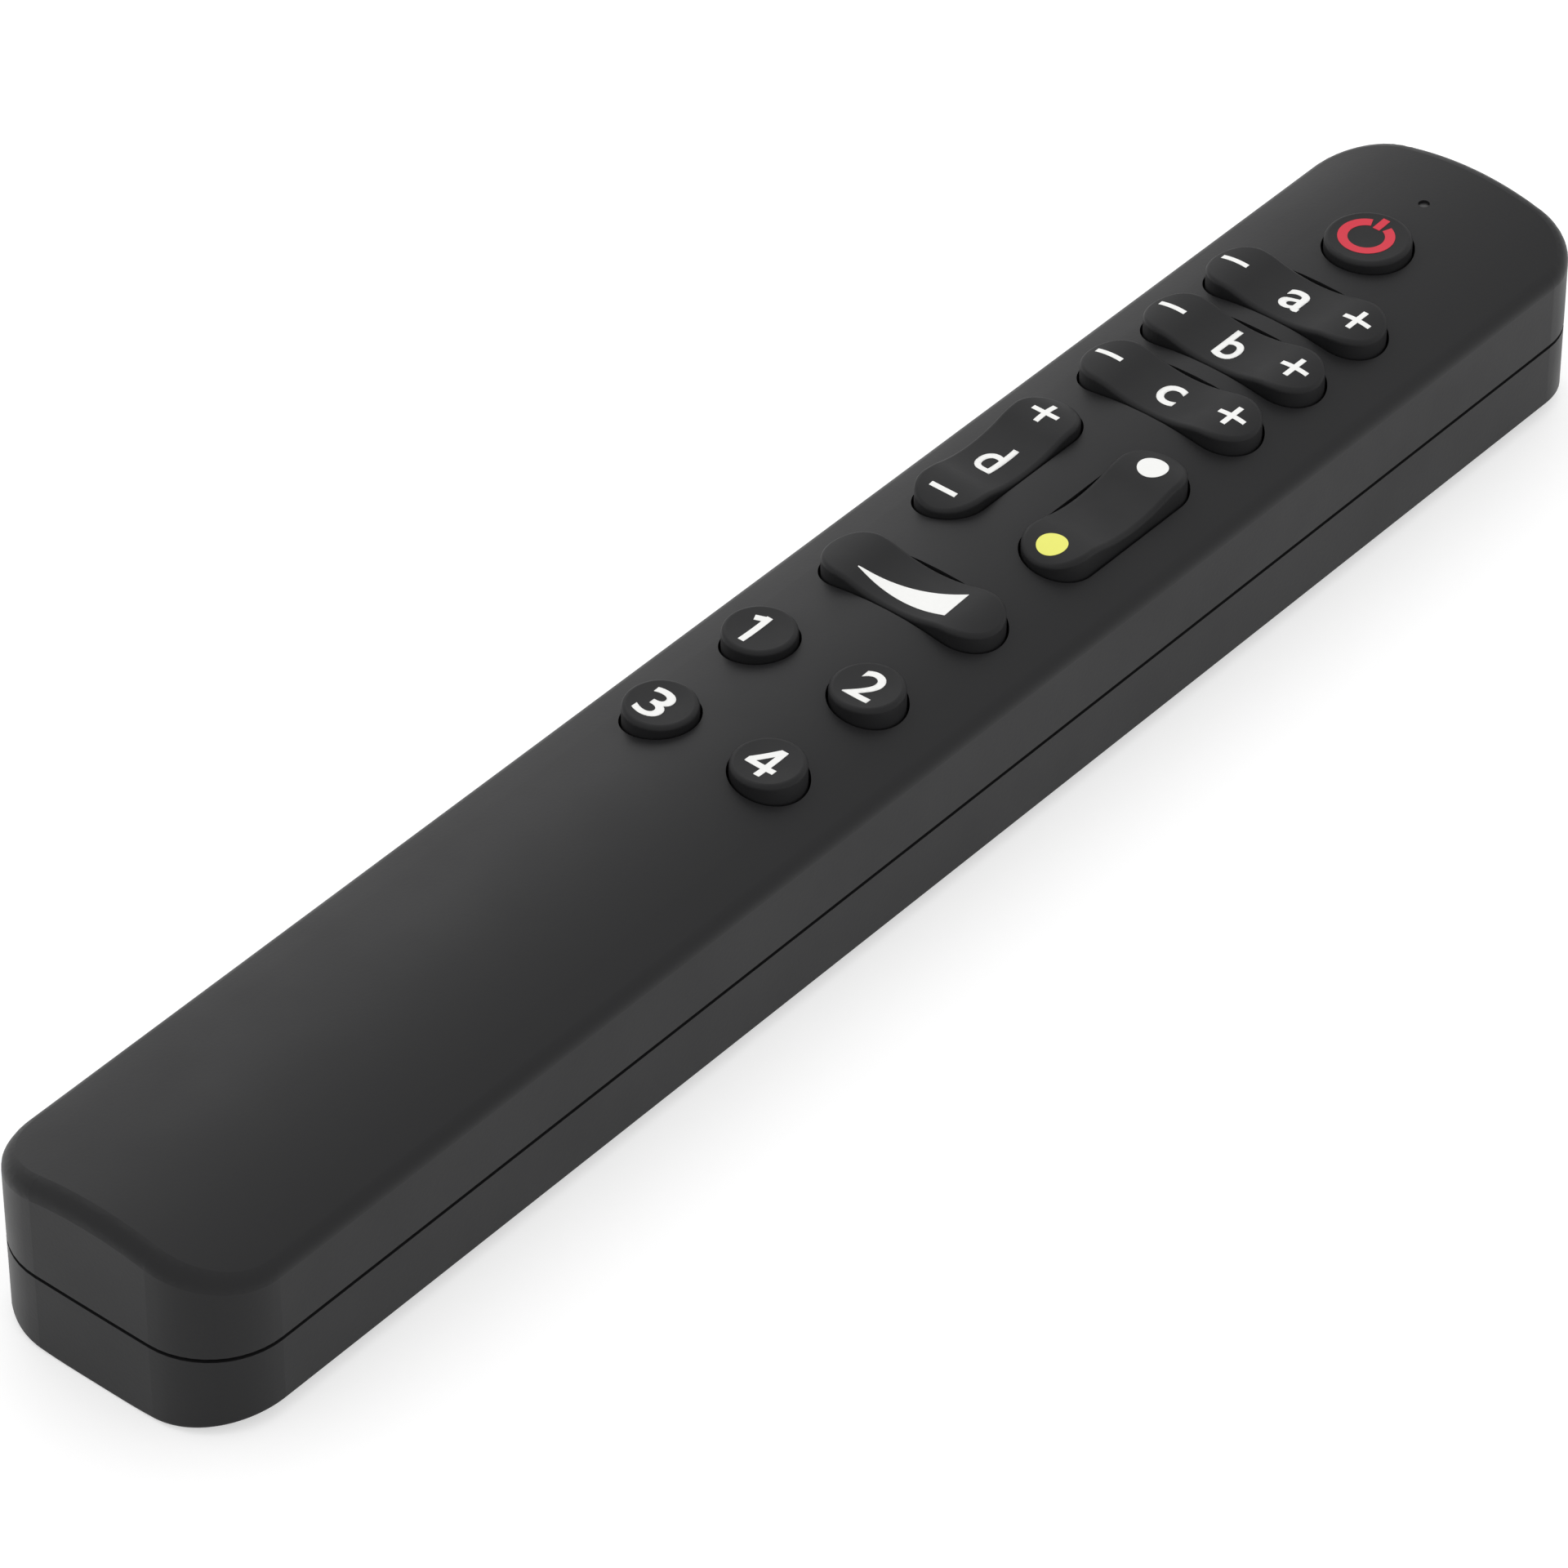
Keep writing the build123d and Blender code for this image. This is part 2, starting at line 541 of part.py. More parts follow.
def keypad_mat():
    """Rubber mat over the board: holes under the domes, holes for the posts, rests for the rockers."""
    length = MAT_HEAD_Y - MAT_TAIL_Y
    middle = (MAT_HEAD_Y + MAT_TAIL_Y) / 2
    sheet = prism(Pos(0, middle) * RectangleRounded(2 * MAT_HALF_WIDTH, length, MAT_CORNER_RADIUS),
                  BOARD_TOP_Z, MAT_TOP_Z)
    places = [place for pair in dome_places().values() for place in pair]
    holes = [prism(disc(x, y, MAT_HOLE_RADIUS), 0, HEIGHT) for x, y in places]
    holes += [prism(disc(x, y, POST_OUTER_RADIUS + 0.15), 0, HEIGHT) for x, y in BOARD_SCREWS]
    rests = [prism(disc(x, y, POST_RADIUS), BOARD_TOP_Z, POST_TOP_Z) for _, x, y, _ in ROCKERS]
    return sheet - holes + rests


def circuit_board():
    """Bare board with its screw holes."""
    length = BOARD_HEAD_Y - BOARD_TAIL_Y
    middle = (BOARD_HEAD_Y + BOARD_TAIL_Y) / 2
    board = prism(Pos(0, middle) * RectangleRounded(2 * BOARD_HALF_WIDTH, length, BOARD_CORNER_RADIUS),
                  BOARD_BOTTOM_Z, BOARD_TOP_Z)
    return board - [prism(disc(x, y, SCREW_RADIUS + SCREW_CLEARANCE), 0, HEIGHT) for x, y in BOARD_SCREWS]


def contact_pads():
    """Round pads on the board, one in each mat hole."""
    places = [place for pair in dome_places().values() for place in pair]
    high = BOARD_TOP_Z + PAD_THICKNESS
    return Compound([prism(disc(x, y, PAD_RADIUS), BOARD_TOP_Z, high) for x, y in places])


def board_part(x, y, size_x, size_y, size_z):
    """A package on the underside of the board."""
    z_low = BOARD_BOTTOM_Z - size_z
    return block(x - size_x / 2, x + size_x / 2, y - size_y / 2, y + size_y / 2, z_low, BOARD_BOTTOM_Z)


def chip_capacitors():
    return Compound([board_part(x, y, *CAPACITOR_SIZE) for x, y in CAPACITOR_PLACES])


def reservoir_capacitor():
    """Can that lies along the underside of the board."""
    can = Rot(90, 0, 0) * Cylinder(RESERVOIR_RADIUS, RESERVOIR_LENGTH)
    return Pos(0, RESERVOIR_Y, BOARD_BOTTOM_Z - RESERVOIR_RADIUS) * can


def antenna_trace():
    """Copper track that runs to and fro at the head of the board."""
    step = 2 * ANTENNA_HALF_WIDTH / (ANTENNA_LEGS - 1)
    low_z = BOARD_BOTTOM_Z - ANTENNA_THICKNESS
    half = ANTENNA_TRACK / 2
    pieces = []
    for leg in range(ANTENNA_LEGS):
        x = leg * step - ANTENNA_HALF_WIDTH
        pieces.append(block(x - half, x + half, ANTENNA_LOW_Y, ANTENNA_HIGH_Y, low_z, BOARD_BOTTOM_Z))
        if leg > 0:
            y = ANTENNA_HIGH_Y - half if leg % 2 else ANTENNA_LOW_Y + half
            pieces.append(block(x - step, x, y - half, y + half, low_z, BOARD_BOTTOM_Z))
    return pieces[0] + pieces[1:]


def light_pipe():
    """Dark pin from the lamp to a shallow pit in the top skin."""
    pin = prism(disc(0, PIPE_Y, PIPE_RADIUS), PIPE_LOW_Z, HEIGHT - PIPE_RECESS)
    return pin + prism(disc(0, PIPE_Y, PIPE_FOOT_RADIUS), PIPE_LOW_Z, PIPE_LOW_Z + PIPE_FOOT_HEIGHT)


def indicator_lamp():
    """Small light on the top of the board."""
    size_x, size_y, size_z = LAMP_SIZE
    return Pos(0, PIPE_Y, BOARD_TOP_Z + size_z / 2) * Box(size_x, size_y, size_z)


def cell(x, nub_y, direction):
    """Round cell whose nub touches nub_y and points along direction, +1 to the head."""
    shoulder = CELL_LENGTH - CELL_NUB_LENGTH
    can = fillet(Cylinder(CELL_RADIUS, shoulder).edges(), CELL_EDGE_RADIUS)
    nub = Pos(0, 0, CELL_LENGTH / 2) * Cylinder(CELL_NUB_RADIUS, CELL_NUB_LENGTH)
    turned = Rot(-90 * direction, 0, 0) * (can + nub)
    middle = nub_y - direction * (shoulder / 2 + CELL_NUB_LENGTH)
    return Pos(x, middle, CELL_Z) * turned


def plate(x, wall_y, inward):
    """Flat contact plate against an end wall; inward is the way to the cells."""
    face = sorted([wall_y, wall_y + inward * PLATE_THICKNESS])
    return block(x - PLATE_WIDTH / 2, x + PLATE_WIDTH / 2, face[0], face[1], PLATE_LOW_Z, PLATE_HIGH_Z)


def dimple(x, wall_y, inward):
    """Raised spot that meets a cell's nub."""
    y = wall_y + inward * (PLATE_THICKNESS + DIMPLE_DEPTH / 2)
    return Pos(x, y, CELL_Z) * Rot(90, 0, 0) * Cylinder(DIMPLE_RADIUS, DIMPLE_DEPTH)


def tab(x):
    """Tongue of a head plate that runs through the end wall onto the board."""
    half = TAB_WIDTH / 2
    back = BAY_HEAD_Y - PLATE_THICKNESS
    top = BOARD_TOP_Z + PLATE_THICKNESS
    neck = block(x - half, x + half, back, BAY_HEAD_Y, PLATE_HIGH_Z - 0.5, top)
    return [neck, block(x - half, x + half, back, TAB_END_Y, BOARD_TOP_Z, top)]


def positive_plate():
    return plate(-CELL_X, BAY_HEAD_Y, -1) + dimple(-CELL_X, BAY_HEAD_Y, -1) + tab(-CELL_X)


def negative_plate():
    return plate(CELL_X, BAY_HEAD_Y, -1) + tab(CELL_X)


def bridge_plate():
    """Tail plate that joins the two cells."""
    low_y = BAY_TAIL_Y
    joint = block(-CELL_X, CELL_X, low_y, low_y + PLATE_THICKNESS, PLATE_LOW_Z + 1, PLATE_HIGH_Z - 1)
    return joint + [plate(-CELL_X, low_y, 1), plate(CELL_X, low_y, 1), dimple(CELL_X, low_y, 1)]


def spring_length():
    """Room between a plate and the flat end of a cell."""
    return BAY_LENGTH - 2 * PLATE_THICKNESS - DIMPLE_DEPTH - CELL_LENGTH


def battery_spring(x, plate_y, inward):
    """Conical wire spring between a plate and a cell's flat end, as a chain of half turns."""
    half_turns = 2 * SPRING_TURNS
    rise = (spring_length() - 2 * WIRE_RADIUS) / half_turns
    shrink = (SPRING_BASE_RADIUS - SPRING_TIP_RADIUS) / half_turns
    arcs = []
    for step in range(half_turns):
        side = -1 if step % 2 else 1
        start = Vector(side * (SPRING_BASE_RADIUS - step * shrink), 0, step * rise)
        end = Vector(-side * (SPRING_BASE_RADIUS - (step + 1) * shrink), 0, (step + 1) * rise)
        middle = (start + end) / 2 + Vector(0, side * (end - start).length / 2, 0)
        arcs.append(ThreePointArc(start, middle, end))
    path = Wire(arcs)
    wire = sweep(Plane(path @ 0, z_dir=path % 0) * Circle(WIRE_RADIUS), path=path)
    turned = Rot(-90 * inward, 0, 0) * wire
    return Pos(x, plate_y + inward * WIRE_RADIUS, CELL_Z) * turned


def screw(x, y, seat_z, length):
    """Pan-head screw driven upwards, its head below seat_z."""
    head = prism(disc(x, y, SCREW_HEAD_RADIUS), seat_z - SCREW_HEAD_HEIGHT, seat_z)
    head = chamfer(head.edges().sort_by(Axis.Z)[0], SCREW_HEAD_HEIGHT / 2)
    return head + prism(disc(x, y, SCREW_RADIUS), seat_z, seat_z + length)


def board_screws():
    length = SCREW_TOP_Z - BOARD_BOTTOM_Z - 0.3
    return Compound([screw(x, y, BOARD_BOTTOM_Z, length) for x, y in BOARD_SCREWS])


def case_screws():
    length = SCREW_TOP_Z - BAY_ROOF_Z - 0.3
    return Compound([screw(x, y, BAY_ROOF_Z, length) for x, y in CASE_SCREWS])


def nodes():
    """Every piece by name, built one at a time."""
    yield "upper_shell", upper_shell()
    yield "lower_shell", lower_shell()
    yield "battery_cover", battery_cover()
    yield "cover_latch", cover_latch()
    yield "keypad_mat", keypad_mat()
    yield "circuit_board", circuit_board()
    yield "contact_pads", contact_pads()
    for name, x, y, upright in ROCKERS:
        yield f"rocker_{name}", rocker(x, y, upright)
    for name, x, y, radius, top_z in ROUND_KEYS:
        yield f"key_{name}", round_key(x, y, radius, top_z)
    for name, places in dome_places().items():
        yield f"domes_{name}", Compound([dome(x, y) for x, y in places])
    for name, x, y, *size in BOARD_PARTS:
        yield name, board_part(x, y, *size)
    yield "chip_capacitors", chip_capacitors()
    yield "reservoir_capacitor", reservoir_capacitor()
    yield "antenna_trace", antenna_trace()
    yield "light_pipe", light_pipe()
    yield "indicator_lamp", indicator_lamp()
    left_nub = BAY_HEAD_Y - PLATE_THICKNESS - DIMPLE_DEPTH
    right_nub = BAY_TAIL_Y + PLATE_THICKNESS + DIMPLE_DEPTH
    yield "battery_cell_left", cell(-CELL_X, left_nub, 1)
    yield "battery_cell_right", cell(CELL_X, right_nub, -1)
    yield "positive_plate", positive_plate()
    yield "negative_plate", negative_plate()
    yield "bridge_plate", bridge_plate()
    yield "head_spring", battery_spring(CELL_X, BAY_HEAD_Y - PLATE_THICKNESS, -1)
    yield "tail_spring", battery_spring(-CELL_X, BAY_TAIL_Y + PLATE_THICKNESS, 1)
    yield "board_screws", board_screws()
    yield "case_screws", case_screws()


os.makedirs("parts", exist_ok=True)
for node_name, shape in nodes():
    export_step(shape, f"parts/{node_name}.step")
turn_gap = spring_length() - 2 * WIRE_RADIUS
turn_gap = turn_gap / SPRING_TURNS - 2 * WIRE_RADIUS
print("least gap between spring turns, mm:", round(turn_gap, 3))
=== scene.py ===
import math
from collections import namedtuple

import bmesh
import bpy
from bpy.props import FloatProperty, FloatVectorProperty, PointerProperty
from bpy.types import Operator, Panel, PropertyGroup
from bpy.utils import register_class, unregister_class
from mathutils import Matrix, Vector
from mathutils.bvhtree import BVHTree


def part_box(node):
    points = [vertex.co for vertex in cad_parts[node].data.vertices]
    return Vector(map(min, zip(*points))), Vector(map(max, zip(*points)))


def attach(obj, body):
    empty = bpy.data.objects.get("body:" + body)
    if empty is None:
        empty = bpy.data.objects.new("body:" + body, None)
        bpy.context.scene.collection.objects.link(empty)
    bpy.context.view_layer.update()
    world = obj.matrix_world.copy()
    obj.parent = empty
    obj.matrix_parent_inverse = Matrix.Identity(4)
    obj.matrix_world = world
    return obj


bl_info = {
    "name": "Rocker-key handset",
    "version": (1, 0, 0),
    "blender": (4, 5, 0),
    "location": "View3D > Sidebar > Handset",
    "description": "Finishes, printed marks and studio for a slim remote control with rocker keys",
    "category": "Object",
}

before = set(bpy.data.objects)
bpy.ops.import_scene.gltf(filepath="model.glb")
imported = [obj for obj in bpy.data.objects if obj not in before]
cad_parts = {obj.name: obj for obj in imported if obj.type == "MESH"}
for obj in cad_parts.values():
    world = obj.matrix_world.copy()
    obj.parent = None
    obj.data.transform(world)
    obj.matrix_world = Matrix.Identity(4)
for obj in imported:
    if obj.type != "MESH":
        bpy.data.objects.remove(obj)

MM = 0.001
PHOTO_PIXELS = 1920

SHELLS = ("upper_shell", "lower_shell", "battery_cover", "cover_latch")
ROCKERS = ("rocker_a", "rocker_b", "rocker_c", "rocker_d", "rocker_tint", "rocker_dimmer")
ROUND_KEYS = ("key_power", "key_1", "key_2", "key_3", "key_4")
DOMES = tuple(name for name in sorted(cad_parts) if name.startswith("domes_"))
CONTACTS = ("positive_plate", "negative_plate", "bridge_plate", "head_spring", "tail_spring")
SCREWS = ("board_screws", "case_screws")

# Places and sizes of the printed marks are in millimetres, and a shift is from the key's middle.

# Letters and numbers: node, word, shift, width and height
LETTERS = (
    ("rocker_a", "a", (-0.02, -0.09), (2.42, 3.0)),
    ("rocker_b", "b", (0.0, 0.05), (2.37, 4.33)),
    ("rocker_c", "c", (0.0, -0.06), (2.34, 2.98)),
    ("rocker_d", "d", (-0.14, -0.4), (2.38, 4.34)),
)
NUMBERS = (
    ("key_2", "2", (0.0, 0.07), (2.75, 3.94)),
    ("key_3", "3", (-0.35, -0.2), (2.65, 3.92)),
)

# Share of a letter's width that is kept, from the left, where the typeface gives it a tail
TAILED = {"a": 0.89}

# Numbers of straight strokes: start and end of each stroke from the number's middle, then node,
# strokes and shift
ONE = (
    ((0.37, -2.02), (0.37, 2.02)),
    ((-0.75, 1.22), (0.45, 1.72)),
)
FOUR = (
    ((0.55, -2.02), (0.55, 2.02)),
    ((-1.55, -0.75), (1.55, -0.75)),
    ((-1.3, -0.62), (0.42, 1.85)),
)
STROKED = (("key_1", ONE, (-0.69, -0.23)), ("key_4", FOUR, (-0.22, -0.06)))

# Plus and minus signs: node and shift
PLUSES = (
    ("rocker_a", (6.9, 0.15)),
    ("rocker_b", (6.87, 0.15)),
    ("rocker_c", (6.91, 0.13)),
    ("rocker_d", (-0.12, 7.0)),
)
MINUSES = (
    ("rocker_a", (-7.3, 0.24)),
    ("rocker_b", (-7.34, 0.26)),
    ("rocker_c", (-7.34, 0.24)),
    ("rocker_d", (-0.16, -7.58)),
)

# Dots of the tint key: name and shift
DOTS = (("white_dot", (-0.03, 6.97)), ("warm_dot", (-0.07, -7.45)))

# Edges of the dimmer's wedge, from left to right. With s from 0 to 1 along an edge, the values are
# x = start + run * s and y = height + slope * s + bow * s squared
RAMP_TOP = {"start": -5.17, "run": 10.03, "height": -1.52, "slope": 1.87, "bow": 1.3}
RAMP_FOOT = {"start": -5.17, "run": 10.23, "height": -1.64, "slope": -1.8, "bow": 1.4}
RAMP_SHIFT = (0, 0.2)

# Power sign: opening of its ring, and the stem that stands in it
RING_GAP = math.radians(46)
STEM_FOOT = 1.5 * MM
STEM_TOP = 3.2 * MM
STEM_WIDTH = 0.75 * MM
POWER_SHIFT = (-0.28, 0.05)

# How finely curved outlines are drawn, in straight pieces
LETTER_STEPS = 6
DOT_STEPS = 48
RING_STEPS = 64
RAMP_STEPS = 24

# Prints are cut on a grid of this pitch, so that they follow the key's top
PRINT_GRID = 0.4 * MM
# Strokes that cross lie this far apart, so that no two faces share a plane
LAYER_STEP = 0.004 * MM
# How far a print reaches down into the key
PRINT_ROOT = 0.05 * MM
# Points of the typeface nearer than this, in parts of its size, are one
MERGED = 0.0001

# Numbers of a Mix node's sockets when it mixes colours: its inputs, and its result
SHARE, FIRST, SECOND = 0, 6, 7
MIXED = 2
# Where nearly all values of a noise lie
NOISE_LOW, NOISE_HIGH = 0.3, 0.7
# How far a surface's roughness swings to either side
GLOSS_SWING = 0.03

# Copper tracks of the board: their pitch, half their width, the distance between the short pieces
# that join them, and how far these are staggered from row to row, in parts of that distance
TRACK_PITCH = 1.27 * MM
TRACK_HALF_WIDTH = 0.13 * MM
TRACK_LENGTH = TRACK_PITCH * 7
TRACK_STAGGER = 0.37
# Length of the pale band of a battery cell
CELL_BAND = 11 * MM
# Where a part's coating changes: how far a face's normal points along one axis, from 0 to 1
BOARD_FACE = 0.5
SLEEVE_STRIPE = 0.93
SLEEVE_END = 0.7
CELL_END = 0.6

# Softboxes: place and side, in metres
TOP_LAMP = ((-0.2, 0.13, 0.45), 0.4)
SIDE_LAMP = ((-0.23, 0.14, 0.2), 0.15)
# Floor: half its side in metres, how far it lies below the object, and how white the camera sees it
FLOOR_HALF = 3.0
FLOOR_DROP = 0.05 * MM
FLOOR_GLOW = 0.52
# Camera: width of its sensor in millimetres, and the nearest thing that it sees, in metres
SENSOR_WIDTH = 36
NEAREST = 0.01


def linear(code):
    """An sRGB hex colour as linear red, green and blue."""
    parts = [int(code[place:place + 2], 16) / 255 for place in (1, 3, 5)]
    return tuple(part / 12.92 if part <= 0.04045 else ((part + 0.055) / 1.055) ** 2.4
                 for part in parts)


def colour(label, code, words):
    return FloatVectorProperty(name=label, description=words, subtype="COLOR",
                               default=linear(code), min=0, max=1)


def length(label, value, words):
    return FloatProperty(name=label, description=words, default=value, unit="LENGTH", precision=5)


class HandsetFinish(PropertyGroup):
    """Colours and surface values that a user would change."""
    shell_colour: colour("Shell", "#202021",
                         "Moulded plastic of the two shells and the battery cover")
    key_colour: colour("Keys", "#1d1d1e", "Moulded silicone of the keys")
    mat_colour: colour("Mat", "#a5a8a8", "Clear grey silicone of the keypad mat and its domes")
    mask_colour: colour("Board", "#0f5a31", "Solder mask of the circuit board")
    jacket_colour: colour("Cells", "#4a5058", "Printed jacket of the battery cells")
    band_colour: colour("Cell band", "#b9bcc0", "Band at the positive end of the battery cells")
    white_ink: colour("White ink", "#f3f3f1", "Printed letters, numbers and signs")
    yellow_ink: colour("Warm dot", "#ebeb74", "Printed dot on the warm end of the tint key")
    red_ink: colour("Power sign", "#cf3646", "Printed sign on the power key")
    shell_roughness: FloatProperty(
        name="Shell roughness", description="Roughness of the satin mould finish",
        default=0.42, min=0, max=1)
    key_roughness: FloatProperty(
        name="Key roughness", description="Roughness of the keys", default=0.52, min=0, max=1)
    grain: length("Grain", 0.35 * MM, "Distance between the pits of the satin finish")


class MarkSizes(PropertyGroup):
    """Sizes of what is printed on the keys."""
    stroke: length("Stroke", 0.54 * MM, "Width of the strokes of the plus and minus signs")
    sign: length("Sign", 2.9 * MM, "Length of the plus and minus signs")
    number_stroke: length("Number stroke", 0.64 * MM, "Width of the straight strokes of 1 and 4")
    weight: FloatProperty(
        name="Weight", description="How far the letters are thickened, in parts of their size",
        default=0.012)
    dot: length("Dot", 2.9 * MM, "Width of the tint dots")
    ring_outer: length("Ring", 2.7 * MM, "Outer radius of the power sign")
    ring_inner: length("Ring hole", 1.75 * MM, "Inner radius of the power sign")
    ink: length("Ink", 0.03 * MM, "How far the ink stands above the key")


class StudioSettings(PropertyGroup):
    """Camera and lights."""
    azimuth: FloatProperty(
        name="Azimuth", description="Camera direction round the handset, in degrees",
        default=40.07)
    elevation: FloatProperty(
        name="Elevation", description="Camera height above the floor, in degrees", default=40.1)
    distance: length("Distance", 0.77126, "From the camera to the plane through the aim point")
    aim_right: length("Aim right", -4.223 * MM,
                      "Aim point from the frame's origin, along the picture's width")
    aim_up: length("Aim up", 2.964 * MM,
                   "Aim point from the frame's origin, along the picture's height")
    focal_pixels: FloatProperty(
        name="Focal length", description="In pixels of the 1920 wide picture", default=10590)
    surround: FloatProperty(
        name="Surround", description="Strength of the even light from all sides", default=0.93)
    top_lamp: FloatProperty(
        name="Top lamp", description="Power of the softbox overhead, in watts", default=0.22)
    side_lamp: FloatProperty(
        name="Side lamp", description="Power of the small softbox at the left, in watts",
        default=0.07)


GROUPS = {
    "handset_finish": HandsetFinish,
    "handset_marks": MarkSizes,
    "handset_studio": StudioSettings,
}


def finish():
    return bpy.context.scene.handset_finish


def marks():
    return bpy.context.scene.handset_marks


def studio():
    return bpy.context.scene.handset_studio


def add_node(tree, kind, inputs=None, **settings):
    """A shader node with its settings, values and incoming links."""
    node = tree.nodes.new(kind)
    for key, value in settings.items():
        setattr(node, key, value)
    for key, value in (inputs or {}).items():
        if isinstance(value, bpy.types.NodeSocket):
            tree.links.new(value, node.inputs[key])
        else:
            node.inputs[key].default_value = value
    return node


def opaque(rgb):
    return (*rgb, 1)


# A material, its node tree and its shader, with the outputs of its object coordinates and its tone
Surface = namedtuple("Surface", "material tree shader place tone")


def grained(name, rgb, roughness, pit, depth, patch, spread=0.06, stretch=(1, 1, 1), **constants):
    """A surface patchy in tone and gloss over small pits.

    pit, depth and patch are the width of a pit, its depth and the width of a patch, in metres.
    spread is how far the tone swings, and stretch draws the pattern out along an axis.
    """
    material = bpy.data.materials.new(name)
    material.use_nodes = True
    tree = material.node_tree
    shader = tree.nodes["Principled BSDF"]
    for key, value in constants.items():
        shader.inputs[key.replace("_", " ")].default_value = value
    place = add_node(tree, "ShaderNodeTexCoord").outputs["Object"]
    along = add_node(tree, "ShaderNodeMapping",
                     {"Vector": place, "Scale": stretch}).outputs["Vector"]
    patches = add_node(tree, "ShaderNodeTexNoise",
                       {"Vector": along, "Scale": 1 / patch, "Detail": 3.0}).outputs["Fac"]
    pits = add_node(tree, "ShaderNodeTexNoise",
                    {"Vector": along, "Scale": 1 / pit, "Detail": 1.0}).outputs["Fac"]
    darker = opaque(part * (1 - spread) for part in rgb)
    paler = opaque(min(part * (1 + spread), 1) for part in rgb)
    tone = add_node(tree, "ShaderNodeMix", {SHARE: patches, FIRST: darker, SECOND: paler},
                    data_type="RGBA").outputs[MIXED]
    gloss = add_node(tree, "ShaderNodeMapRange", {
        "Value": patches, "From Min": NOISE_LOW, "From Max": NOISE_HIGH,
        "To Min": roughness - GLOSS_SWING, "To Max": roughness + GLOSS_SWING}).outputs["Result"]
    bump = add_node(tree, "ShaderNodeBump", {"Height": pits, "Distance": depth}).outputs["Normal"]
    for socket, source in (("Base Color", tone), ("Roughness", gloss), ("Normal", bump)):
        tree.links.new(source, shader.inputs[socket])
    return Surface(material, tree, shader, place, tone)


def satin_abs():
    """ABS moulded against spark-eroded steel: an even satin of fine pits, patchy in gloss."""
    values = finish()
    # The real pits are near 0.05 mm apart, too fine to show, and are drawn several times coarser
    return grained("satin_moulded_abs", values.shell_colour, values.shell_roughness,
                   pit=values.grain, depth=0.006 * MM, patch=9 * MM,
                   IOR=1.53, Specular_IOR_Level=0.17).material


def key_silicone():
    """Silicone rubber, compression moulded and spray coated: as dark as the shell and duller."""
    values = finish()
    # Drawn coarser than real, as the shell's pits are
    return grained("coated_silicone_rubber", values.key_colour, values.key_roughness,
                   pit=values.grain * 0.8, depth=0.005 * MM, patch=3 * MM,
                   IOR=1.42, Specular_IOR_Level=0.26).material


def pad_ink(name, rgb):
    """Two-part ink laid on by a soft pad: a thin even film with a faint mottle."""
    return grained(name, rgb, roughness=0.5,
                   pit=0.3 * MM, depth=0.002 * MM, patch=0.6 * MM, spread=0.02,
                   IOR=1.5, Specular_IOR_Level=0.2).material


def clear_grey_silicone():
    """Silicone rubber, compression moulded, uncoated: milky, with light going a little way in."""
    return grained("milky_silicone_rubber", finish().mat_colour, roughness=0.45,
                   pit=0.5 * MM, depth=0.004 * MM, patch=4 * MM, IOR=1.41, Subsurface_Weight=0.4,
                   Subsurface_Radius=(0.6 * MM, 0.6 * MM, 0.6 * MM), Subsurface_Scale=1.0).material


def solder_mask():
    """Glass-epoxy laminate, etched copper and a curtain-coated green mask: tracks look paler."""
    surface = grained("green_mask_on_glass_epoxy", finish().mask_colour, roughness=0.3,
                      pit=0.8 * MM, depth=0.003 * MM, patch=6 * MM, IOR=1.55)
    tree = surface.tree
    black, white = (0, 0, 0, 1), (1, 1, 1, 1)
    tracks = add_node(tree, "ShaderNodeTexBrick", {
        "Vector": surface.place, "Scale": 1.0, "Mortar Size": TRACK_HALF_WIDTH,
        "Mortar Smooth": 0.2, "Brick Width": TRACK_LENGTH, "Row Height": TRACK_PITCH,
        "Color1": black, "Color2": black, "Mortar": white},
        offset=TRACK_STAGGER).outputs["Color"]
    pale = opaque(linear("#2c8a4c"))
    green = add_node(tree, "ShaderNodeMix", {SHARE: tracks, FIRST: surface.tone, SECOND: pale},
                     data_type="RGBA").outputs[MIXED]
    facing = add_node(tree, "ShaderNodeTexCoord").outputs["Normal"]
    upward = add_node(tree, "ShaderNodeSeparateXYZ", {0: facing}).outputs["Z"]
    height = add_node(tree, "ShaderNodeMath", {0: upward}, operation="ABSOLUTE").outputs[0]
    flat = add_node(tree, "ShaderNodeMath", {0: height, 1: BOARD_FACE},
                    operation="GREATER_THAN").outputs[0]
    # The sawn edge shows the bare laminate
    bare = opaque(linear("#a89a5e"))
    shown = add_node(tree, "ShaderNodeMix", {SHARE: flat, FIRST: bare, SECOND: green},
                     data_type="RGBA").outputs[MIXED]
    tree.links.new(shown, surface.shader.inputs["Base Color"])
    return surface.material


def printed_carbon():
    """Carbon ink, screen printed on the board: black, dry and grainy."""
    return grained("screen_printed_carbon", linear("#1b1b1b"), roughness=0.75,
                   pit=0.15 * MM, depth=0.01 * MM, patch=1 * MM, spread=0.2).material


def flashed_copper():
    """Etched copper track with a gold flash: yellow metal with a slightly sandy surface."""
    return grained("gold_flashed_copper", linear("#dcaf5e"), roughness=0.3,
                   pit=0.2 * MM, depth=0.002 * MM, patch=2 * MM, Metallic=1.0).material


def tinned_can():
    """Steel sheet, rolled, tinned and folded into a can: fine rolling lines along one side."""
    return grained("rolled_tinned_steel", linear("#c9c9c4"), roughness=0.3,
                   pit=0.15 * MM, depth=0.002 * MM, patch=1.5 * MM, stretch=(1, 0.06, 1),
                   Metallic=1.0).material


